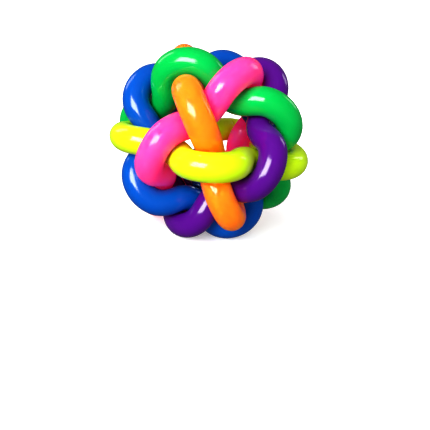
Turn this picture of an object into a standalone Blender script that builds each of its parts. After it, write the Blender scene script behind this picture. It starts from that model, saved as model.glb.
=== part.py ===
"""Woven rubber puzzle ball with a jingle bell loose inside it.

Six equal rings, each a round rubber strand closed on itself by a peg in a socket, are woven
over and under one another into an open ball. Every ring crosses each of the others twice, and
the thirty crossings lie on the two-fold axes of an icosahedron. The ball stands on the five
lobes round its lowest opening. Units are metres, +Z is up, and the origin is the ball's centre.
"""
import math

import bpy
import numpy as np
from mathutils import Matrix, Vector

# Weave
LOBES = 5                    # outward lobes of one ring, one over each crossing that it passes on top
RING_RADIUS = 0.0335         # mean radius of a ring's centreline
LOBE_HEIGHT = 0.0059         # rise of a lobe above that radius, and dip of a hollow below it
LOBE_BOW = 0.0011            # sideways bow of the strand, towards the five-sided openings
LOBE_LEAN = 0.017            # drift of the strand round its ring, first and second harmonic (radians)
LOBE_SQUARENESS = 0.029
STRAND_RADIUS = 0.0059
STRAND_GAP = 0.0008          # slack left where two strands press together; facets take a quarter of it
CROSSING_TILT = math.atan(2) / 2

# Closing joint of a strand
SEAM_ANGLE = math.radians(18)
SEAM_GAP = 0.0003
PEG_RADIUS = 0.0030
PEG_LENGTH = 0.0080
SOCKET_RADIUS = 0.0033
SOCKET_DEPTH = 0.0083

# Bell
BELL_RADIUS = 0.0115
BELL_WALL = 0.0007
BELL_DROP = 0.0132           # the bell's centre below the ball's centre when it lies in the ball
RIM_WIDTH = 0.0008
RIM_THICKNESS = 0.0007
RIM_GAP = 0.0003
SLOT_WIDTH = 0.0020
SLOT_SPREAD = math.radians(52)   # from the bottom of the bell to the middle of a slot's end hole
SLOT_HOLE_RADIUS = 0.0017
WIRE_RADIUS = 0.0005
WIRE_GAP = 0.0004
LOOP_RADIUS = 0.0020
LOOP_MOUTH = math.radians(29)    # from the bottom of the loop to where a leg runs into it
LOOP_HOLE_RADIUS = 0.0015
ELBOW_RADIUS = 0.0008
FOOT_LENGTH = 0.0034
PELLET_RADIUS = 0.0026

# Mesh fineness
ROWS_PER_LOBE = 14
STRAND_SIDES = 10
JOINT_ROWS = 5
BELL_SIDES = 32
BELL_ARC_STEPS = 9
WIRE_SIDES = 8
LOOP_STEPS = 9
ELBOW_STEPS = 4
PELLET_SIDES = 16
BORE_SIDES = 16
NEIGHBOUR_POINTS = 720
ANGLE_STEP = 1e-4            # for slopes along the strand
PRESS_STEPS = 16             # halvings in the search for a pressed surface
PRESS_FLOOR = 0.4            # least share of its radius that the search lets a strand keep
SHARP_ANGLE = math.radians(50)

# Finishes
RUBBER_ROUGHNESS = 0.28
PLATE_ROUGHNESS = 0.16
PELLET_ROUGHNESS = 0.3
PLATE_COLOUR = (0.78, 0.79, 0.80)
WIRE_COLOUR = (0.76, 0.77, 0.78)
PELLET_COLOUR = (0.55, 0.56, 0.58)

# Name, colour and place in the weave of each ring. Seats 0 to 4 cross near the top of the ball,
# and seat 5 lies level. Turns are steps of one lobe that bring the closing joint to the back.
RINGS = (
    ("ring_yellow", (0.79, 0.95, 0.01), 5, 2),
    ("ring_purple", (0.10, 0.01, 0.32), 0, 1),
    ("ring_blue", (0.01, 0.09, 0.66), 1, 4),
    ("ring_orange", (0.98, 0.19, 0.01), 2, 4),
    ("ring_green", (0.01, 0.72, 0.11), 3, 3),
    ("ring_pink", (0.93, 0.03, 0.30), 4, 2),
)


def clear_objects():
    for thing in list(bpy.data.objects):
        bpy.data.objects.remove(thing, do_unlink=True)


def material(name, colour, roughness, metallic):
    made = bpy.data.materials.new(name)
    made.use_nodes = True
    shader = made.node_tree.nodes["Principled BSDF"]
    shader.inputs["Base Color"].default_value = (*colour, 1.0)
    shader.inputs["Roughness"].default_value = roughness
    shader.inputs["Metallic"].default_value = metallic
    return made


def solid(name, points, faces, finish, parent=None, matrix=None):
    """One object from its points and faces, shaded smooth apart from its sharp edges."""
    mesh = bpy.data.meshes.new(name)
    mesh.from_pydata([tuple(p) for p in points], [], faces)
    mesh.validate()
    mesh.materials.append(finish)
    mesh.shade_smooth()
    mesh.set_sharp_from_angle(angle=SHARP_ANGLE)
    made = bpy.data.objects.new(name, mesh)
    bpy.context.collection.objects.link(made)
    made.parent = parent
    if matrix is not None:
        made.matrix_local = matrix
    return made


def centre_empty(name, height):
    made = bpy.data.objects.new(name, None)
    made.empty_display_size = 0.01
    made.location = (0.0, 0.0, height)
    bpy.context.collection.objects.link(made)
    return made


def skin_faces(row_count, sides):
    """Faces of a skin drawn over a row of rings of points, with a cap at each end."""
    faces = [list(range(sides))[::-1]]
    for row in range(row_count - 1):
        for side in range(sides):
            here = row * sides + side
            beside = row * sides + (side + 1) % sides
            faces.append([here, beside, beside + sides, here + sides])
    last = (row_count - 1) * sides
    faces.append([last + side for side in range(sides)])
    return faces


def tube_points(centres, normals, binormals, radii, sides):
    """Rings of points about a line of centres, as an array of row, side, coordinate."""
    turn = np.arange(sides) * 2 * np.pi / sides
    across = np.cos(turn)[None, :, None] * normals[:, None] + np.sin(turn)[None, :, None] * binormals[:, None]
    return centres[:, None] + np.asarray(radii)[:, None, None] * across


# Rings

def strand_centre(angle):
    """Centreline of a ring about its own +Z, with a lobe on its own +X."""
    round_ring = angle + LOBE_LEAN * np.sin(LOBES * angle) + LOBE_SQUARENESS * np.sin(2 * LOBES * angle)
    radius = RING_RADIUS + LOBE_HEIGHT * np.cos(LOBES * angle)
    bow = LOBE_BOW * np.sin(LOBES * angle)
    return np.stack([radius * np.cos(round_ring), radius * np.sin(round_ring), bow], axis=-1)


def strand_frame(angle):
    """Centre, outward normal and binormal of the strand at each angle."""
    centre = strand_centre(angle)
    tangent = strand_centre(angle + ANGLE_STEP) - strand_centre(angle - ANGLE_STEP)
    tangent /= np.linalg.norm(tangent, axis=1)[:, None]
    outward = centre - (centre * tangent).sum(axis=1)[:, None] * tangent
    outward /= np.linalg.norm(outward, axis=1)[:, None]
    return centre, outward, np.cross(tangent, outward)


def seat_matrix(seat):
    """Turns a ring's own axes to its seat in the weave."""
    if seat == LOBES:
        lobe = Vector((0, -1, 0))
        axis = Vector((0, 0, 1))
    else:
        spacing = 2 * math.pi / LOBES
        top = [Vector((math.sin(CROSSING_TILT) * math.cos(spacing * k),
                       math.sin(CROSSING_TILT) * math.sin(spacing * k),
                       math.cos(CROSSING_TILT))) for k in (seat, seat + 1)]
        lobe = top[0]
        axis = top[0].cross(top[1]).normalized()
    return Matrix((lobe, axis.cross(lobe), axis)).transposed()


def neighbour_centres():
    """Centrelines of the five other rings, seen from a ring's own axes."""
    angle = np.arange(NEIGHBOUR_POINTS) * 2 * np.pi / NEIGHBOUR_POINTS
    line = strand_centre(angle)
    home = np.array(seat_matrix(LOBES))
    return np.concatenate([line @ np.array(seat_matrix(seat)).T @ home for seat in range(LOBES)])


def press(points, centres, neighbours):
    """Flattens a strand where a neighbour presses on it, so that half the slack lies on each side."""
    low = np.full(points.shape[:2], PRESS_FLOOR)
    high = np.ones(points.shape[:2])
    spoke = points - centres[:, None]
    length = np.linalg.norm(spoke, axis=2)
    for _ in range(PRESS_STEPS):
        share = (low + high) / 2
        tried = centres[:, None] + share[..., None] * spoke
        away = np.array([np.sqrt(((row[:, None] - neighbours[None]) ** 2).sum(axis=2)).min(axis=1)
                         for row in tried])
        free = away - share * length > STRAND_GAP
        low = np.where(free, share, low)
        high = np.where(free, high, share)
    return centres[:, None] + low[..., None] * spoke


def ring_mesh():
    """A strand from the bottom of its socket, round the ring, to the tip of its peg."""
    here = strand_centre(np.array([SEAM_ANGLE, SEAM_ANGLE + ANGLE_STEP]))
    per_metre = ANGLE_STEP / np.linalg.norm(here[1] - here[0])
    start = SEAM_ANGLE + SEAM_GAP / 2 * per_metre
    end = SEAM_ANGLE + 2 * np.pi - SEAM_GAP / 2 * per_metre
    outer = np.linspace(start, end, LOBES * ROWS_PER_LOBE + 1)
    socket = np.linspace(start + SOCKET_DEPTH * per_metre, start, JOINT_ROWS)
    peg = np.linspace(end, end + PEG_LENGTH * per_metre, JOINT_ROWS)
    angle = np.concatenate([socket, outer, peg])
    radii = np.concatenate([np.full(JOINT_ROWS, SOCKET_RADIUS), np.full(len(outer), STRAND_RADIUS),
                            np.full(JOINT_ROWS, PEG_RADIUS)])
    centres, normals, binormals = strand_frame(angle)
    points = tube_points(centres, normals, binormals, radii, STRAND_SIDES)
    skin = slice(JOINT_ROWS, JOINT_ROWS + len(outer))
    points[skin] = press(points[skin], centres[skin], neighbour_centres())
    return points.reshape(-1, 3), skin_faces(len(angle), STRAND_SIDES)


def build_rings():
    points, faces = ring_mesh()
    for name, colour, seat, turns in RINGS:
        lobe_turn = Matrix.Rotation(turns * 2 * math.pi / LOBES, 4, "Z")
        place = seat_matrix(seat).to_4x4() @ lobe_turn
        solid(name, points, faces, material(name, colour, RUBBER_ROUGHNESS, 0.0), matrix=place)


# Bell

def turned(name, profile, sides, finish, parent):
    """A solid of revolution about Z. The profile starts and ends on the axis."""
    angle = np.arange(sides) * 2 * np.pi / sides
    points = [(0.0, 0.0, profile[0][1])]
    for radius, height in profile[1:-1]:
        points += [(radius * math.cos(a), radius * math.sin(a), height) for a in angle]
    points.append((0.0, 0.0, profile[-1][1]))
    last = len(points) - 1
    rows = len(profile) - 2
    faces = []
    for side in range(sides):
        beside = (side + 1) % sides
        faces.append([0, 1 + side, 1 + beside])
        for row in range(rows - 1):
            upper = 1 + row * sides
            faces.append([upper + side, upper + sides + side, upper + sides + beside, upper + beside])
        foot = 1 + (rows - 1) * sides
        faces.append([foot + side, last, foot + beside])
    return solid(name, points, faces, finish, parent)


def dome_profile():
    """Upper half of the bell from its outer top, over the rim, to its inner top."""
    inner = BELL_RADIUS - BELL_WALL
    rim_bottom = RIM_GAP / 2
    rim_top = rim_bottom + RIM_THICKNESS
    rim_angle = math.asin(rim_top / BELL_RADIUS)
    mouth_angle = math.asin(rim_bottom / inner)
    outside = np.linspace(math.pi / 2, rim_angle, BELL_ARC_STEPS)
    inside = np.linspace(mouth_angle, math.pi / 2, BELL_ARC_STEPS)
    profile = [(BELL_RADIUS * math.cos(a), BELL_RADIUS * math.sin(a)) for a in outside]
    profile += [(BELL_RADIUS + RIM_WIDTH, rim_top), (BELL_RADIUS + RIM_WIDTH, rim_bottom)]
    profile += [(inner * math.cos(a), inner * math.sin(a)) for a in inside]
    return profile


def cutter(name, matrix, size=None, radius=None, depth=None):
    """A box or a round bar that cuts a bell half and isn't part of it."""
    if radius is None:
        bpy.ops.mesh.primitive_cube_add(size=1.0)
        bpy.context.object.scale = size
    else:
        bpy.ops.mesh.primitive_cylinder_add(vertices=BORE_SIDES, radius=radius, depth=depth)
    made = bpy.context.object
    made.name = name
    made.data.transform(made.matrix_basis)
    made.matrix_basis = matrix
    made.hide_render = True
    made.display_type = "WIRE"
    return made


def cut(target, tool):
    boolean = target.modifiers.new(tool.name, "BOOLEAN")
    boolean.operation = "DIFFERENCE"
    boolean.solver = "EXACT"
    boolean.object = tool


def slot_cutters(centre):
    """Two crossed slots through the bottom of the bell, each ending in a round hole."""
    mid_radius = BELL_RADIUS - BELL_WALL / 2
    length = 2 * mid_radius * math.sin(SLOT_SPREAD)
    depth = mid_radius * (1 - math.cos(SLOT_SPREAD)) + BELL_WALL
    middle = Matrix.Translation((0, 0, -mid_radius * math.cos(SLOT_SPREAD) - depth / 2))
    out = Matrix.Translation((0, 0, -mid_radius))
    tools = []
    for number in range(2):
        turn = Matrix.Translation(centre) @ Matrix.Rotation(number * math.pi / 2, 4, "Z")
        tools.append(cutter(f"slot_tool_{number}", turn @ middle, size=(length, SLOT_WIDTH, depth)))
        for side in (-1, 1):
            tilt = Matrix.Rotation(side * SLOT_SPREAD, 4, "Y")
            tools.append(cutter(f"slot_end_{number}_{side}", turn @ tilt @ out,
                                radius=SLOT_HOLE_RADIUS, depth=BELL_RADIUS / 2))
    return tools


def build_top_half(parent, centre):
    plate = material("bell_top_plate", PLATE_COLOUR, PLATE_ROUGHNESS, 1.0)
    half = turned("bell_top_half", dome_profile(), BELL_SIDES, plate, parent)
    crown = Matrix.Translation(centre + Vector((0.0, 0.0, BELL_RADIUS)))
    cut(half, cutter("loop_hole_tool", crown, radius=LOOP_HOLE_RADIUS, depth=BELL_RADIUS / 2))


def build_bottom_half(parent, centre):
    plate = material("bell_bottom_plate", PLATE_COLOUR, PLATE_ROUGHNESS, 1.0)
    half = turned("bell_bottom_half", dome_profile(), BELL_SIDES, plate, parent)
    half.rotation_euler = (math.pi, 0.0, 0.0)
    for tool in slot_cutters(centre):
        cut(half, tool)


def loop_path():
    """Wire from one splayed foot inside the bell, up, round the loop and down to the other foot."""
    leg = WIRE_RADIUS + WIRE_GAP / 2
    ceiling = BELL_RADIUS - BELL_WALL - WIRE_RADIUS - WIRE_GAP
    foot_end = (FOOT_LENGTH + leg) / ceiling
    foot_start = (ELBOW_RADIUS + leg) / ceiling
    foot = [(-ceiling * math.sin(a), ceiling * math.cos(a))
            for a in np.linspace(foot_end, foot_start, ELBOW_STEPS)]
    elbow_floor = ceiling * math.cos(foot_start)
    elbow = [(-leg - ELBOW_RADIUS * (1 - math.sin(a)), elbow_floor + ELBOW_RADIUS * (1 - math.cos(a)))
             for a in np.linspace(0.0, math.pi / 2, ELBOW_STEPS)]
    loop_centre = BELL_RADIUS + WIRE_GAP + WIRE_RADIUS + LOOP_RADIUS
    round_loop = [(-LOOP_RADIUS * math.sin(a), loop_centre - LOOP_RADIUS * math.cos(a))
                  for a in np.linspace(LOOP_MOUTH, math.pi, LOOP_STEPS)]
    left = foot + elbow[1:] + [(-leg, BELL_RADIUS)] + round_loop
    right = [(-x, z) for x, z in left[-2::-1]]
    return np.array([(x, 0.0, z) for x, z in left + right])


def build_loop(parent):
    path = loop_path()
    tangent = np.gradient(path, axis=0)
    tangent /= np.linalg.norm(tangent, axis=1)[:, None]
    binormal = np.tile((0.0, 1.0, 0.0), (len(path), 1))
    normal = np.cross(binormal, tangent)
    points = tube_points(path, normal, binormal, np.full(len(path), WIRE_RADIUS), WIRE_SIDES)
    wire = material("loop_wire", WIRE_COLOUR, PLATE_ROUGHNESS, 1.0)
    solid("bell_loop", points.reshape(-1, 3), skin_faces(len(path), WIRE_SIDES), wire, parent)


def build_pellet(parent):
    """Steel pellet lying in the bell. Its origin is the bell's centre, about which it rolls."""
    height = -(BELL_RADIUS - BELL_WALL - PELLET_RADIUS - WIRE_GAP)
    arc = np.linspace(math.pi / 2, -math.pi / 2, PELLET_SIDES // 2 + 1)
    profile = [(PELLET_RADIUS * math.cos(a), height + PELLET_RADIUS * math.sin(a)) for a in arc]
    steel = material("pellet_steel", PELLET_COLOUR, PELLET_ROUGHNESS, 1.0)
    turned("bell_pellet", profile, PELLET_SIDES, steel, parent)


def build_bell():
    bell = centre_empty("bell_centre", -BELL_DROP)
    centre = Vector(bell.location)
    build_top_half(bell, centre)
    build_bottom_half(bell, centre)
    build_loop(bell)
    build_pellet(bell)


clear_objects()
build_rings()
build_bell()
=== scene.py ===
"""Looks of a woven rubber puzzle ball with a jingle bell in it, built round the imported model.

Each coarse ring solid is replaced by a finely meshed strand on the same centreline, and each bell
piece by a finer one in the same place. Units are metres, +Z is up, the origin is the ball's centre.
"""
import math

import bmesh
import bpy
import numpy as np
from mathutils import Matrix, Vector
from mathutils.kdtree import KDTree


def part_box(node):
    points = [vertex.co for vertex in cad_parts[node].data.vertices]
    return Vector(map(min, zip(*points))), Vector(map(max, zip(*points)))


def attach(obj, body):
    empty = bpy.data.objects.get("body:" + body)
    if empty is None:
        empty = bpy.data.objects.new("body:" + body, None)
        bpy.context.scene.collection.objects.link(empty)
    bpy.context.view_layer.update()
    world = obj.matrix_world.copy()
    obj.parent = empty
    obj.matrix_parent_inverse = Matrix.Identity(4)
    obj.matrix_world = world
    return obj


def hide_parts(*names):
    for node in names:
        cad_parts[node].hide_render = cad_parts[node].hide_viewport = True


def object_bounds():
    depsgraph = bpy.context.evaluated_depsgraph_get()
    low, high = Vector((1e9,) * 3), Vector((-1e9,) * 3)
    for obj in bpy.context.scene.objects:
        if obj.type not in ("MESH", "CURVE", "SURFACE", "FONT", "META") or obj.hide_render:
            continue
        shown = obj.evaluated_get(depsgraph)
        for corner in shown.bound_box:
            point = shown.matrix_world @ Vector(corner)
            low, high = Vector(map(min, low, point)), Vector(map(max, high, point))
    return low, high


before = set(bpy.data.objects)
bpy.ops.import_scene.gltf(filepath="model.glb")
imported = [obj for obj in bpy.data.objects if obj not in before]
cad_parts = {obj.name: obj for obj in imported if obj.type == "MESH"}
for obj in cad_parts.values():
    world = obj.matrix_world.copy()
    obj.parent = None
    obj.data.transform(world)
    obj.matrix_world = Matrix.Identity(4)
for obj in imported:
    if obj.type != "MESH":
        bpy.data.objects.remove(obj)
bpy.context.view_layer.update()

# Weave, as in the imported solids
LOBES = 5
RING_RADIUS = 0.0335
LOBE_HEIGHT = 0.0059
LOBE_BOW = 0.0011
LOBE_LEAN = 0.017
LOBE_SQUARENESS = 0.029
STRAND_RADIUS = 0.0059
STRAND_GAP = 0.0007
CROSSING_TILT = math.atan(2) / 2

SEAM_ANGLE = math.radians(18)
SEAM_GAP = 0.0003
SEAM_ROUNDING = 0.0004
PEG_RADIUS = 0.0030
PEG_LENGTH = 0.0080
SOCKET_RADIUS = 0.0033
SOCKET_DEPTH = 0.0083

# Seat of each ring in the weave, and the fifths of a turn that bring its closing joint to the back
SEATS = {
    "yellow": (5, 2),
    "purple": (0, 1),
    "blue": (1, 4),
    "orange": (2, 4),
    "green": (3, 3),
    "pink": (4, 2),
}

# Fineness of the strands, and of the search for how far their neighbours press them in
ROWS_PER_LOBE = 56
STRAND_SIDES = 44
JOINT_ROWS = 8
ROUNDING_ROWS = 5
ANGLE_STEP = 1e-4
NEIGHBOUR_POINTS = 1440
PRESS_FLOOR = 0.4
PRESS_STEPS = 12
PRESS_SOFTENING = 6

# Bell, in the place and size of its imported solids
BELL_WALL = 0.0007
RIM_WIDTH = 0.0008
RIM_GAP = 0.0003
HEM_HEIGHT = 0.00075
HEM_WALL = 0.0003
HEM_SLACK = 0.0001
SLOT_WIDTH = 0.0020
SLOT_SPREAD = math.radians(52)
SLOT_HOLE_RADIUS = 0.0017
SLOT_EDGE = 0.00008
WIRE_RADIUS = 0.0005
WIRE_GAP = 0.0004
WIRE_END_SHARES = (0.55, 0.9)    # of the wire's radius, at its rounded cut ends
LOOP_RADIUS = 0.0020
LOOP_MOUTH = math.radians(29)
LOOP_HOLE_RADIUS = 0.0015
ELBOW_RADIUS = 0.0008
FOOT_LENGTH = 0.0034
PELLET_SEAM_WIDTH = 0.0003
PELLET_SEAM_HEIGHT = 0.00006

# Fineness of the bell
BELL_SIDES = 128
DOME_STEPS = 36
CORNER_STEPS = 4
EDGE_SEGMENTS = 2
EDGE_ANGLE = math.radians(50)
BORE_SIDES = 48
WIRE_SIDES = 20
WIRE_SMOOTHING = 6
FOOT_STEPS = 4
ELBOW_STEPS = 4
LOOP_STEPS = 9
PELLET_SIDES = 64
PELLET_STEPS = 49
MERGE_DISTANCE = 0.000001
SLIVER = 0.000006

SHARP_ANGLE = math.radians(35)

# Rubber: roughness, added roughness of the scuffs, the reach from the ball's centre where they
# grow, and the patterns' scale in features per metre and relief in metres
HAZE = (0.11, 0.18)
SCUFF = 0.10
CREST = (0.0425, 0.0455)
RUBBER_IOR = 1.48
GLOW_SCALE = 0.001
MOTTLE_SCALE = 70.0
HAZE_SCALE = 120.0
SCUFF_SCALE = 420.0
SKIN_SCALE = 900.0
SKIN_RELIEF = 0.000006
WAVE_SCALE = 90.0
WAVE_RELIEF = 0.00006

# Plated metal, in the same units. TARNISH_BAND is the part of its pattern, from 0 to 1, over which
# the plate turns to tarnish
TARNISH_SCALE = 260.0
TARNISH_BAND = (0.48, 0.72)
SCRATCH_SCALE = 700.0
SCRATCH_RELIEF = 0.000008
SCRATCH_HAZE = 0.12
DENT_SCALE = 220.0
DENT_RELIEF = 0.00006

# Camera, from the viewing angle of the photograph
CAMERA_PLACE = (-0.01037, -0.19941, 0.04729)
CAMERA_TURN = (67.304, -9.092, -1.469)
CAMERA_LENS = 36.84
CAMERA_SENSOR = 36.0
CAMERA_NEAREST = 0.01

# Light: name, azimuth and height in degrees as seen from the ball, distance, size, brightness,
# and whether the glossy rubber mirrors it
SOFT_BOXES = (
    ("key_light", -33.0, 22.0, 0.50, (0.30, 0.24), 14.0, True),
    ("left_light", -115.0, 30.0, 0.50, (0.12, 0.26), 3.0, True),
    ("right_light", 118.0, 35.0, 0.50, (0.10, 0.22), 2.6, True),
    ("top_light", -30.0, 70.0, 0.60, (0.50, 0.50), 1.0, False),
    ("front_fill", 15.0, 0.0, 0.60, (0.60, 0.60), 1.2, False),
    ("right_fill", 100.0, 5.0, 0.60, (0.50, 0.50), 0.9, False),
    ("back_fill", 170.0, 20.0, 0.60, (0.50, 0.50), 1.5, False),
)
ROOM_LIGHT = 0.12
WHITE = (1.0, 1.0, 1.0, 1.0)

# Floor, and the sweep that joins it to a wall all round. Its paint is lifted to white away from
# the ball: FLOOR_LIFT is the emission at the two distances of FLOOR_LIFT_REACH
FLOOR_GAP = 0.00005
FLOOR_ROWS = (0.0, 0.3, 0.6, 0.9)
SWEEP_RADIUS = 0.5
SWEEP_START = 0.1
SWEEP_STEPS = 14
WALL_ROWS = (1.0, 1.8)
FLOOR_SIDES = 96
FLOOR_LIFT = (0.25, 0.90)
FLOOR_LIFT_REACH = (0.07, 0.35)
PAINT_SCALE = 8.0
PAINT_TONES = ((0.93, 0.93, 0.93), (0.91, 0.91, 0.915))
PAINT_ROUGHNESS = 0.6


# Strand geometry

def strand_centre(angle):
    """Centreline of a ring about its own +Z, with a lobe on its own +X."""
    round_ring = angle + LOBE_LEAN * np.sin(LOBES * angle) + LOBE_SQUARENESS * np.sin(2 * LOBES * angle)
    radius = RING_RADIUS + LOBE_HEIGHT * np.cos(LOBES * angle)
    bow = LOBE_BOW * np.sin(LOBES * angle)
    return np.stack([radius * np.cos(round_ring), radius * np.sin(round_ring), bow], axis=-1)


def strand_frame(angle):
    """Centre, outward normal and binormal of the strand at each angle."""
    centre = strand_centre(angle)
    tangent = strand_centre(angle + ANGLE_STEP) - strand_centre(angle - ANGLE_STEP)
    tangent /= np.linalg.norm(tangent, axis=1)[:, None]
    outward = centre - (centre * tangent).sum(axis=1)[:, None] * tangent
    outward /= np.linalg.norm(outward, axis=1)[:, None]
    return centre, outward, np.cross(tangent, outward)


def seat_matrix(seat):
    """Turns a ring from its own axes into its seat. The last seat is the level one."""
    if seat == LOBES:
        lobe = Vector((0, -1, 0))
        axis = Vector((0, 0, 1))
    else:
        spacing = 2 * math.pi / LOBES
        top = [Vector((math.sin(CROSSING_TILT) * math.cos(spacing * k),
                       math.sin(CROSSING_TILT) * math.sin(spacing * k),
                       math.cos(CROSSING_TILT))) for k in (seat, seat + 1)]
        lobe = top[0]
        axis = top[0].cross(top[1]).normalized()
    return Matrix((lobe, axis.cross(lobe), axis)).transposed()


def neighbour_tree():
    """The five other centrelines, seen from a ring's own axes, for nearest-point queries."""
    line = strand_centre(np.arange(NEIGHBOUR_POINTS) * 2 * np.pi / NEIGHBOUR_POINTS)
    home = np.array(seat_matrix(LOBES))
    tree = KDTree(LOBES * NEIGHBOUR_POINTS)
    for seat in range(LOBES):
        for number, point in enumerate(line @ np.array(seat_matrix(seat)).T @ home):
            tree.insert(point, seat * NEIGHBOUR_POINTS + number)
    tree.balance()
    return tree


def pressed_shares(centres, points, tree):
    """How much of its radius each point of the strand keeps where a neighbour presses on it."""
    rows, sides = points.shape[:2]
    shares = np.ones((rows, sides))
    for row in range(rows):
        centre = Vector(centres[row])
        for side in range(sides):
            spoke = Vector(points[row, side]) - centre
            if tree.find(centre + spoke)[2] - spoke.length > STRAND_GAP:
                continue
            low, high = PRESS_FLOOR, 1.0
            for _ in range(PRESS_STEPS):
                share = (low + high) / 2
                if tree.find(centre + share * spoke)[2] - share * spoke.length > STRAND_GAP:
                    low = share
                else:
                    high = share
            shares[row, side] = low
    return shares


def soften(shares):
    """Rounds the rims of the pressed flats without letting a strand grow."""
    soft = shares.copy()
    for _ in range(PRESS_SOFTENING):
        across = (np.roll(soft, 1, axis=1) + np.roll(soft, -1, axis=1)) / 4 + soft / 2
        inner = across.copy()
        inner[1:-1] = (across[2:] + across[:-2]) / 4 + across[1:-1] / 2
        soft = np.minimum(inner, shares)
    return soft


def round_section(normals, binormals, sides):
    """Unit spokes round each point of a line, from its normals and binormals."""
    turn = np.arange(sides) * 2 * np.pi / sides
    return np.cos(turn)[None, :, None] * normals[:, None] + np.sin(turn)[None, :, None] * binormals[:, None]


def strand_points():
    """Rings of points from the bottom of the socket, round the ring, to the tip of the peg."""
    here = strand_centre(np.array([SEAM_ANGLE, SEAM_ANGLE + ANGLE_STEP]))
    per_metre = ANGLE_STEP / np.linalg.norm(here[1] - here[0])
    start = SEAM_ANGLE + SEAM_GAP / 2 * per_metre
    end = SEAM_ANGLE + 2 * np.pi - SEAM_GAP / 2 * per_metre
    body = np.linspace(start + SEAM_ROUNDING * per_metre, end - SEAM_ROUNDING * per_metre,
                       LOBES * ROWS_PER_LOBE + 1)
    quarter = np.linspace(0, math.pi / 2, ROUNDING_ROWS + 1)[:-1]
    rounding_in = start + SEAM_ROUNDING * per_metre * (1 - np.sin(quarter))
    rounding_out = end - SEAM_ROUNDING * per_metre * (1 - np.sin(quarter))
    rim = STRAND_RADIUS - SEAM_ROUNDING * (1 - np.cos(quarter))
    socket = np.linspace(start + SOCKET_DEPTH * per_metre, start, JOINT_ROWS)
    peg = np.linspace(end, end + PEG_LENGTH * per_metre, JOINT_ROWS)
    angle = np.concatenate([socket, rounding_in[::-1], body[1:-1], rounding_out, peg])
    radii = np.concatenate([np.full(JOINT_ROWS, SOCKET_RADIUS), rim[::-1],
                            np.full(len(body) - 2, STRAND_RADIUS), rim, np.full(JOINT_ROWS, PEG_RADIUS)])
    centres, normals, binormals = strand_frame(angle)
    points = centres[:, None] + radii[:, None, None] * round_section(normals, binormals, STRAND_SIDES)
    skin = slice(JOINT_ROWS, -JOINT_ROWS)
    shares = soften(pressed_shares(centres[skin], points[skin], neighbour_tree()))
    points[skin] = centres[skin][:, None] + shares[..., None] * (points[skin] - centres[skin][:, None])
    return points


def skin_faces(row_count, sides):
    """Faces of a closed tube whose points lie in rows of equal sides."""
    faces = [list(range(sides))[::-1]]
    for row in range(row_count - 1):
        for side in range(sides):
            here = row * sides + side
            beside = row * sides + (side + 1) % sides
            faces.append([here, beside, beside + sides, here + sides])
    last = (row_count - 1) * sides
    faces.append([last + side for side in range(sides)])
    return faces


def placed(name, data):
    """A new object in the scene, with the mesh, light or camera as its data."""
    made = bpy.data.objects.new(name, data)
    bpy.context.scene.collection.objects.link(made)
    return made


def mesh_of(name, bm):
    """A mesh from the bmesh, which is freed."""
    mesh = bpy.data.meshes.new(name)
    bm.to_mesh(mesh)
    bm.free()
    return mesh


def in_fixed_order(mesh):
    """The same mesh with its points and faces sorted, since mesh tools may number them anew each run."""
    places = [tuple(vertex.co) for vertex in mesh.vertices]
    order = sorted(range(len(places)), key=places.__getitem__)
    rank = {old: new for new, old in enumerate(order)}
    faces = []
    for polygon in mesh.polygons:
        corners = [rank[vertex] for vertex in polygon.vertices]
        first = corners.index(min(corners))
        faces.append(corners[first:] + corners[:first])
    fixed = bpy.data.meshes.new(mesh.name)
    fixed.from_pydata([places[old] for old in order], [], sorted(faces))
    for finish in mesh.materials:
        fixed.materials.append(finish)
    return fixed


def piece(name, points, faces, finish):
    """A new object from points and faces."""
    mesh = bpy.data.meshes.new(name)
    mesh.from_pydata([tuple(p) for p in points], [], faces)
    mesh.materials.append(finish)
    return placed(name, mesh)


def settle(made, body, node):
    """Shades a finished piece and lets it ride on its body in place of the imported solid."""
    made.data.shade_smooth()
    made.data.set_sharp_from_angle(angle=SHARP_ANGLE)
    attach(made, body)
    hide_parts(node)


# Materials

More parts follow.
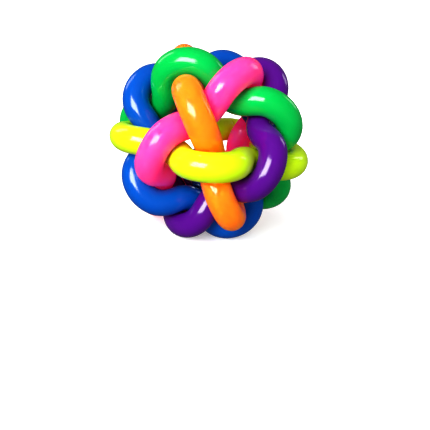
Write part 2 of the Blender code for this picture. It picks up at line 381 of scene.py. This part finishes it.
class Nodes:
    """Short calls for laying out a material's nodes."""

    def __init__(self, name):
        self.material = bpy.data.materials.new(name)
        self.material.use_nodes = True
        self.tree = self.material.node_tree
        self.shader = self.tree.nodes["Principled BSDF"]
        self.place = self.add("ShaderNodeTexCoord").outputs["Object"]

    def add(self, kind, **settings):
        node = self.tree.nodes.new(kind)
        for key, value in settings.items():
            setattr(node, key, value)
        return node

    def link(self, source, target):
        self.tree.links.new(source, target)

    def noise(self, scale, detail=3.0, roughness=0.5, stretch=None):
        """A pattern fixed to the piece. stretch squeezes it along each axis by that factor."""
        node = self.add("ShaderNodeTexNoise")
        node.inputs["Scale"].default_value = scale
        node.inputs["Detail"].default_value = detail
        node.inputs["Roughness"].default_value = roughness
        place = self.place
        if stretch is not None:
            mapping = self.add("ShaderNodeMapping")
            mapping.inputs["Scale"].default_value = stretch
            self.link(place, mapping.inputs["Vector"])
            place = mapping.outputs["Vector"]
        self.link(place, node.inputs["Vector"])
        return node.outputs["Fac"]

    def spread(self, source, low, high, from_low=0.3, from_high=0.7):
        """Maps the source's band onto the range from low to high. Noise keeps mostly within 0.3 to 0.7."""
        node = self.add("ShaderNodeMapRange")
        node.inputs["From Min"].default_value = from_low
        node.inputs["From Max"].default_value = from_high
        node.inputs["To Min"].default_value = low
        node.inputs["To Max"].default_value = high
        self.link(source, node.inputs["Value"])
        return node.outputs["Result"]

    def blend_colours(self, share, first, second):
        node = self.add("ShaderNodeMix", data_type="RGBA")
        node.inputs["A"].default_value = (*first, 1.0)
        node.inputs["B"].default_value = (*second, 1.0)
        self.link(share, node.inputs["Factor"])
        return node.outputs["Result"]

    def calculate(self, operation, first, second):
        node = self.add("ShaderNodeMath", operation=operation)
        self.link(first, node.inputs[0])
        self.link(second, node.inputs[1])
        return node.outputs["Value"]

    def crest_scuffs(self):
        """Added roughness where the lobes stand out furthest and rub on the floor."""
        reach = self.add("ShaderNodeVectorMath", operation="LENGTH")
        self.link(self.place, reach.inputs[0])
        crest = self.spread(reach.outputs["Value"], 0.0, SCUFF, *CREST)
        streaks = self.noise(SCUFF_SCALE, detail=5.0, roughness=0.7, stretch=(1.0, 0.25, 1.0))
        return self.calculate("MULTIPLY", crest, self.spread(streaks, 0.0, 1.0))

    def bump(self, height, distance, strength, after=None):
        node = self.add("ShaderNodeBump")
        node.inputs["Strength"].default_value = strength
        node.inputs["Distance"].default_value = distance
        self.link(height, node.inputs["Height"])
        if after is not None:
            self.link(after, node.inputs["Normal"])
        return node.outputs["Normal"]

    def set(self, **values):
        """Sets constants on the shader's own sockets. An underscore stands for a space."""
        for key, value in values.items():
            self.shader.inputs[key.replace("_", " ")].default_value = value


def rubber(name, colour, deep, glow, radius, painted_light_colour=(0.0, 0.0, 0.0), painted_light_strength=0.0):
    """Glossy moulded rubber. glow is how much light passes through it, and radius how far, by colour.

    The neon rubbers also carry a weak emission, painted light that keeps their shaded parts bright.
    """
    n = Nodes(name)
    mottle = n.spread(n.noise(MOTTLE_SCALE, detail=4.0), 0.0, 1.0)
    tone = n.blend_colours(mottle, colour, deep)
    n.link(tone, n.shader.inputs["Base Color"])
    haze = n.spread(n.noise(HAZE_SCALE, detail=5.0, roughness=0.6), *HAZE)
    worn = n.calculate("ADD", haze, n.crest_scuffs())
    n.link(worn, n.shader.inputs["Roughness"])
    # The emission set here is painted light: a constant glow that brightens the shaded parts.
    n.set(Metallic=0.0, IOR=RUBBER_IOR, Subsurface_Weight=glow, Subsurface_Radius=radius,
          Subsurface_Scale=GLOW_SCALE, Emission_Color=(*painted_light_colour, 1.0), Emission_Strength=painted_light_strength)
    skin = n.bump(n.noise(SKIN_SCALE, detail=3.0), SKIN_RELIEF, strength=0.4)
    wave = n.bump(n.noise(WAVE_SCALE, detail=2.0), WAVE_RELIEF, strength=0.5, after=skin)
    n.link(wave, n.shader.inputs["Normal"])
    return n.material


RUBBERS = {
    "yellow": rubber("yellow_rubber", colour=(0.58, 0.84, 0.014), deep=(0.54, 0.80, 0.012),
                     glow=0.35, radius=(2.0, 2.2, 0.4)),
    "purple": rubber("purple_rubber", colour=(0.098, 0.006, 0.22), deep=(0.085, 0.005, 0.195),
                     glow=0.05, radius=(1.0, 0.4, 1.0)),
    "blue": rubber("blue_rubber", colour=(0.001, 0.082, 0.40), deep=(0.001, 0.072, 0.365),
                   glow=0.05, radius=(0.4, 0.6, 1.2)),
    # Orange and pink get a weak emission in a reddish tone, painted light that brightens their shaded
    # parts.
    "orange": rubber("orange_rubber", colour=(0.99, 0.26, 0.016), deep=(0.98, 0.235, 0.013),
                     glow=1.0, radius=(9.0, 0.8, 0.3), painted_light_colour=(1.0, 0.10, 0.0), painted_light_strength=0.12),
    "green": rubber("green_rubber", colour=(0.001, 0.42, 0.080), deep=(0.001, 0.39, 0.070),
                    glow=0.1, radius=(0.4, 1.5, 0.5)),
    "pink": rubber("pink_rubber", colour=(0.98, 0.085, 0.36), deep=(0.97, 0.072, 0.325),
                   glow=1.0, radius=(9.0, 0.5, 0.9), painted_light_colour=(1.0, 0.0, 0.10), painted_light_strength=0.15),
}


def plated(name, colour, tarnish, polish):
    """Bright plate, hazed by handling, with fine scratches and a little tarnish in patches."""
    n = Nodes(name)
    patches = n.spread(n.noise(TARNISH_SCALE, detail=5.0, roughness=0.65), 0.0, 1.0, *TARNISH_BAND)
    n.link(n.blend_colours(patches, colour, tarnish), n.shader.inputs["Base Color"])
    scratches = n.noise(SCRATCH_SCALE, detail=2.0, stretch=(1.0, 1.0, 9.0))
    haze = n.spread(scratches, polish, polish + SCRATCH_HAZE)
    n.link(haze, n.shader.inputs["Roughness"])
    n.set(Metallic=1.0)
    dents = n.bump(n.noise(DENT_SCALE, detail=2.0), DENT_RELIEF, strength=0.5)
    lines = n.bump(scratches, SCRATCH_RELIEF, strength=0.5, after=dents)
    n.link(lines, n.shader.inputs["Normal"])
    return n.material


# Bell pieces

def bell_place():
    """Centre and outer radius of the bell, from the box of its lower half."""
    low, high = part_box("bell_bottom_half")
    centre = Vector(((low[0] + high[0]) / 2, (low[1] + high[1]) / 2, high[2] + RIM_GAP / 2))
    return centre, (high[0] - low[0]) / 2 - RIM_WIDTH


def turned(name, profile, centre, finish, sides=BELL_SIDES, upside_down=False, closed=False):
    """A surface of revolution. The profile is pairs of radius and height. A closed one has no pole."""
    flip = -1 if upside_down else 1
    bm = bmesh.new()
    line = [bm.verts.new((radius, 0.0, flip * height)) for radius, height in profile]
    edges = [bm.edges.new(pair) for pair in zip(line, line[1:])]
    if closed:
        edges.append(bm.edges.new((line[-1], line[0])))
    bmesh.ops.spin(bm, geom=line + edges, cent=(0, 0, 0), axis=(0, 0, 1), angle=2 * math.pi, steps=sides,
                   use_merge=True)
    bmesh.ops.remove_doubles(bm, verts=bm.verts, dist=MERGE_DISTANCE)
    bmesh.ops.recalc_face_normals(bm, faces=bm.faces)
    bmesh.ops.translate(bm, verts=bm.verts, vec=centre)
    mesh = in_fixed_order(mesh_of(name, bm))
    mesh.materials.append(finish)
    return placed(name, mesh)


def rounded(corners, radius):
    """A line through the corners, with an arc of the radius at each inner one."""
    line = [Vector(corners[0])]
    for before, corner, after in zip(corners, corners[1:], corners[2:]):
        corner = Vector(corner)
        arm_in = (Vector(before) - corner).normalized()
        arm_out = (Vector(after) - corner).normalized()
        half_angle = arm_in.angle(arm_out) / 2
        start = corner + arm_in * radius / math.tan(half_angle)
        end = corner + arm_out * radius / math.tan(half_angle)
        middle = corner + (arm_in + arm_out).normalized() * radius / math.sin(half_angle)
        first, last = (start - middle).normalized(), (end - middle).normalized()
        line += [middle + radius * first.slerp(last, share) for share in np.linspace(0, 1, CORNER_STEPS)]
    return line + [Vector(corners[-1])]


def dome_arc(radius, from_height, to_height):
    """Points of a dome between two heights above the bell's seam."""
    start, end = [math.asin(min(1.0, height / radius)) for height in (from_height, to_height)]
    return [Vector((radius * math.cos(a), radius * math.sin(a)))
            for a in np.linspace(start, end, DOME_STEPS)]


def top_profile(radius):
    """Upper shell, closed: down from the loop hole, over the flange held by the hem, and up inside."""
    inner = radius - BELL_WALL
    mouth_outside, mouth_inside = [math.sqrt(dome ** 2 - LOOP_HOLE_RADIUS ** 2) for dome in (radius, inner)]
    upper = HEM_HEIGHT - HEM_WALL - HEM_SLACK
    flange = radius + RIM_WIDTH - HEM_WALL - HEM_SLACK
    corners = [(radius, upper + HEM_WALL), (radius, upper), (flange, upper), (flange, -upper),
               (inner, -upper), (inner, 0.0)]
    outside = dome_arc(radius, mouth_outside, upper + HEM_WALL)
    inside = dome_arc(inner, 0.0, mouth_inside)
    mouth = rounded([inside[-2], inside[-1], outside[0], outside[1]], SLOT_EDGE)[1:-1]
    return outside[1:] + rounded(corners, HEM_SLACK)[1:-1] + inside[:-1] + mouth


def bottom_profile(radius):
    """Lower shell, drawn upside down, from its outer pole, round the hem, to its inner pole."""
    inner = radius - BELL_WALL
    hem = radius + RIM_WIDTH
    ledge = HEM_HEIGHT - HEM_WALL
    outside = dome_arc(radius, radius, HEM_HEIGHT + HEM_WALL)
    corners = [outside[-1], (radius, HEM_HEIGHT), (hem, HEM_HEIGHT), (hem, -HEM_HEIGHT),
               (radius + HEM_SLACK, -HEM_HEIGHT), (radius + HEM_SLACK, -ledge), (hem - HEM_WALL, -ledge),
               (hem - HEM_WALL, ledge), (inner, ledge), (inner, ledge + HEM_WALL)]
    inside = dome_arc(inner, ledge + HEM_WALL, inner)
    return outside + rounded(corners, HEM_SLACK)[1:-1] + inside


def drop_slivers(mesh):
    """Merges the tiny faces that cuts and broken edges leave where they meet."""
    bm = bmesh.new()
    bm.from_mesh(mesh)
    bmesh.ops.remove_doubles(bm, verts=bm.verts, dist=SLIVER)
    bmesh.ops.triangulate(bm, faces=[face for face in bm.faces if len(face.verts) > 4])
    bmesh.ops.dissolve_degenerate(bm, edges=bm.edges, dist=SLIVER)
    bm.to_mesh(mesh)
    bm.free()


def modified(made):
    """The piece's mesh with its modifiers applied. The modifiers are dropped."""
    bpy.context.view_layer.update()
    evaluated = made.evaluated_get(bpy.context.evaluated_depsgraph_get())
    mesh = bpy.data.meshes.new_from_object(evaluated)
    made.modifiers.clear()
    return mesh


def cut_out(made, tools, edge):
    """Cuts the tools out of a piece, breaks the cut edges, and drops the tools."""
    for tool in tools:
        boolean = made.modifiers.new(tool.name, "BOOLEAN")
        boolean.operation = "DIFFERENCE"
        boolean.solver = "EXACT"
        boolean.object = tool
    made.data = in_fixed_order(modified(made))
    broken = made.modifiers.new("broken_edge", "BEVEL")
    broken.width = edge
    broken.segments = EDGE_SEGMENTS
    broken.limit_method = "ANGLE"
    broken.angle_limit = EDGE_ANGLE
    made.data = modified(made)
    drop_slivers(made.data)
    for tool in tools:
        bpy.data.objects.remove(tool, do_unlink=True)


def tool_of(name, make, matrix):
    """A cutter: what make adds to a bmesh, moved by the matrix."""
    bm = bmesh.new()
    make(bm)
    bm.transform(matrix)
    return placed(name, mesh_of(name, bm))


def slot_tools(centre, radius):
    """Two crossed slots through the bottom of the bell, each ending in a round hole."""
    middle_radius = radius - BELL_WALL / 2
    length = 2 * middle_radius * math.sin(SLOT_SPREAD)
    depth = middle_radius * (1 - math.cos(SLOT_SPREAD)) + BELL_WALL
    middle = Matrix.Translation((0, 0, -middle_radius * math.cos(SLOT_SPREAD) - depth / 2))
    box_size = Matrix.Diagonal((length, SLOT_WIDTH, depth, 1.0))
    out = Matrix.Translation((0, 0, -middle_radius))
    tools = []
    for number in range(2):
        turn = Matrix.Translation(centre) @ Matrix.Rotation(number * math.pi / 2, 4, "Z")
        tools.append(tool_of(f"slot_{number}", lambda bm: bmesh.ops.create_cube(bm, size=1.0),
                             turn @ middle @ box_size))
        for side in (-1, 1):
            tilt = Matrix.Rotation(side * SLOT_SPREAD, 4, "Y")
            tools.append(tool_of(f"slot_end_{number}_{side}", lambda bm: bore(bm, SLOT_HOLE_RADIUS, radius),
                                 turn @ tilt @ out))
    return tools


def bore(bm, bore_radius, depth):
    bmesh.ops.create_cone(bm, cap_ends=True, segments=BORE_SIDES, radius1=bore_radius, radius2=bore_radius,
                          depth=depth)


def smooth_line(points):
    """A smooth line through the points (Catmull-Rom)."""
    padded = [2 * points[0] - points[1], *points, 2 * points[-1] - points[-2]]
    line = []
    for p0, p1, p2, p3 in zip(padded, padded[1:], padded[2:], padded[3:]):
        for t in np.arange(WIRE_SMOOTHING) / WIRE_SMOOTHING:
            line.append(0.5 * (2 * p1 + (p2 - p0) * t + (2 * p0 - 5 * p1 + 4 * p2 - p3) * t ** 2
                               + (3 * p1 - p0 - 3 * p2 + p3) * t ** 3))
    return np.array(line + [points[-1]])


def loop_path(radius):
    """Wire from one splayed foot inside the bell, up, round the loop and down to the other foot."""
    leg = WIRE_RADIUS + WIRE_GAP / 2
    ceiling = radius - BELL_WALL - WIRE_RADIUS - WIRE_GAP
    foot_end = (FOOT_LENGTH + leg) / ceiling
    foot_start = (ELBOW_RADIUS + leg) / ceiling
    foot = [(-ceiling * math.sin(a), ceiling * math.cos(a))
            for a in np.linspace(foot_end, foot_start, FOOT_STEPS)]
    elbow_floor = ceiling * math.cos(foot_start)
    elbow = [(-leg - ELBOW_RADIUS * (1 - math.sin(a)), elbow_floor + ELBOW_RADIUS * (1 - math.cos(a)))
             for a in np.linspace(0.0, math.pi / 2, ELBOW_STEPS)]
    loop_centre = radius + WIRE_GAP + WIRE_RADIUS + LOOP_RADIUS
    round_loop = [(-LOOP_RADIUS * math.sin(a), loop_centre - LOOP_RADIUS * math.cos(a))
                  for a in np.linspace(LOOP_MOUTH, math.pi, LOOP_STEPS)]
    left = foot + elbow[1:] + [(-leg, radius)] + round_loop
    right = [(-x, z) for x, z in left[-2::-1]]
    return smooth_line([np.array((x, 0.0, z)) for x, z in left + right])


def wire_mesh(path):
    """A round wire along a flat path, with its cut ends slightly rounded."""
    tangent = np.gradient(path, axis=0)
    tangent /= np.linalg.norm(tangent, axis=1)[:, None]
    binormal = np.tile((0.0, 1.0, 0.0), (len(path), 1))
    normal = np.cross(binormal, tangent)
    radii = np.full(len(path), WIRE_RADIUS)
    for row, share in enumerate(WIRE_END_SHARES):
        radii[[row, -1 - row]] *= share
    points = path[:, None] + radii[:, None, None] * round_section(normal, binormal, WIRE_SIDES)
    return points.reshape(-1, 3), skin_faces(len(path), WIRE_SIDES)


def pellet_profile():
    """A rolled pellet with the faint raised seam of its two pressings round it."""
    low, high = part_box("bell_pellet")
    radius = (high[2] - low[2]) / 2
    skin = radius - PELLET_SEAM_HEIGHT
    arc = np.linspace(math.pi / 2, -math.pi / 2, PELLET_STEPS)
    seam = [PELLET_SEAM_HEIGHT * math.exp(-(radius * math.sin(a) / PELLET_SEAM_WIDTH) ** 2) for a in arc]
    profile = [((skin + rise) * math.cos(a), skin * math.sin(a)) for a, rise in zip(arc, seam)]
    middle = [(a + b) / 2 for a, b in zip(low, high)]
    return profile, Vector(middle)


def build_bell():
    centre, radius = bell_place()
    plate = plated("bell_plate", colour=(0.86, 0.85, 0.83), tarnish=(0.66, 0.62, 0.56), polish=0.14)
    top = turned("bell_top_shell", top_profile(radius), centre, plate, closed=True)
    settle(top, "bell", "bell_top_half")

    bottom = turned("bell_bottom_shell", bottom_profile(radius), centre, plate, upside_down=True)
    cut_out(bottom, slot_tools(centre, radius), SLOT_EDGE)
    settle(bottom, "bell", "bell_bottom_half")

    wire = plated("loop_wire", colour=(0.77, 0.76, 0.74), tarnish=(0.52, 0.47, 0.40), polish=0.12)
    points, faces = wire_mesh(loop_path(radius))
    loop = piece("bell_wire_loop", points + np.array(centre), faces, wire)
    settle(loop, "bell", "bell_loop")

    steel = plated("pellet_steel", colour=(0.56, 0.55, 0.53), tarnish=(0.34, 0.27, 0.20), polish=0.28)
    profile, middle = pellet_profile()
    pellet = turned("bell_steel_pellet", profile, middle, steel, sides=PELLET_SIDES)
    settle(pellet, "pellet", "bell_pellet")


# Strands

def build_strands():
    """Six strands from one shape. Each is turned into its seat in the weave within its mesh."""
    points = strand_points()
    faces = skin_faces(len(points), STRAND_SIDES)
    for colour, (seat, turns) in SEATS.items():
        made = piece(f"{colour}_strand", points.reshape(-1, 3), faces, RUBBERS[colour])
        back = Matrix.Rotation(turns * 2 * math.pi / LOBES, 4, "Z")
        made.data.transform(seat_matrix(seat).to_4x4() @ back)
        settle(made, f"{colour}_ring", f"ring_{colour}")


build_strands()
build_bell()


# Stage, light and camera

def studio_paint():
    """Pale matt paint with a faint mottle. It is lifted to white paper away from the ball's shadow."""
    n = Nodes("studio_paint")
    tone = n.blend_colours(n.spread(n.noise(PAINT_SCALE), 0.0, 1.0), *PAINT_TONES)
    n.link(tone, n.shader.inputs["Base Color"])
    n.set(Roughness=PAINT_ROUGHNESS, Emission_Color=WHITE)
    reach = n.add("ShaderNodeVectorMath", operation="LENGTH")
    n.link(n.place, reach.inputs[0])
    lift = n.spread(reach.outputs["Value"], *FLOOR_LIFT, *FLOOR_LIFT_REACH)
    n.link(lift, n.shader.inputs["Emission Strength"])
    return n.material


def build_floor():
    """A round floor that sweeps up into a wall on every side. Its own light stays off the ball."""
    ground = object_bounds()[0][2] - FLOOR_GAP
    wall = FLOOR_ROWS[-1] + SWEEP_RADIUS
    profile = [(radius, 0.0) for radius in FLOOR_ROWS]
    profile += [(FLOOR_ROWS[-1] + SWEEP_RADIUS * math.sin(a), SWEEP_RADIUS * (1 - math.cos(a)))
                for a in np.linspace(SWEEP_START, math.pi / 2, SWEEP_STEPS)]
    profile += [(wall, height) for height in WALL_ROWS]
    floor = turned("studio_floor", profile, (0.0, 0.0, ground), studio_paint(), sides=FLOOR_SIDES)
    floor.data.shade_smooth()
    floor.visible_diffuse = False
    floor.visible_shadow = False
    floor.visible_glossy = False


def soft_box(name, azimuth, height, distance, size, radiance, mirrored):
    """A rectangular soft box facing the ball. Azimuth is counted from the front, rightwards."""
    light = bpy.data.lights.new(name, "AREA")
    light.shape = "RECTANGLE"
    light.size, light.size_y = size
    light.energy = radiance * math.pi * size[0] * size[1]
    made = placed(name, light)
    turn, tilt = math.radians(azimuth), math.radians(height)
    made.location = Vector((math.sin(turn) * math.cos(tilt), -math.cos(turn) * math.cos(tilt),
                            math.sin(tilt))) * distance
    made.rotation_euler = (-made.location).to_track_quat("-Z", "Y").to_euler()
    made.visible_camera = False
    made.visible_glossy = mirrored


def build_light():
    world = bpy.data.worlds.new("studio")
    bpy.context.scene.world = world
    world.use_nodes = True
    background = world.node_tree.nodes["Background"]
    background.inputs["Color"].default_value = WHITE
    background.inputs["Strength"].default_value = ROOM_LIGHT
    for settings in SOFT_BOXES:
        soft_box(*settings)


def build_camera():
    lens = bpy.data.cameras.new("camera")
    lens.sensor_width = CAMERA_SENSOR
    lens.lens = CAMERA_LENS
    lens.clip_start = CAMERA_NEAREST
    camera = placed("camera", lens)
    camera.location = CAMERA_PLACE
    camera.rotation_euler = [math.radians(a) for a in CAMERA_TURN]
    bpy.context.scene.camera = camera


build_floor()
build_light()
build_camera()
bpy.context.scene.view_settings.view_transform = "Standard"
bpy.context.scene.view_settings.look = "High Contrast"
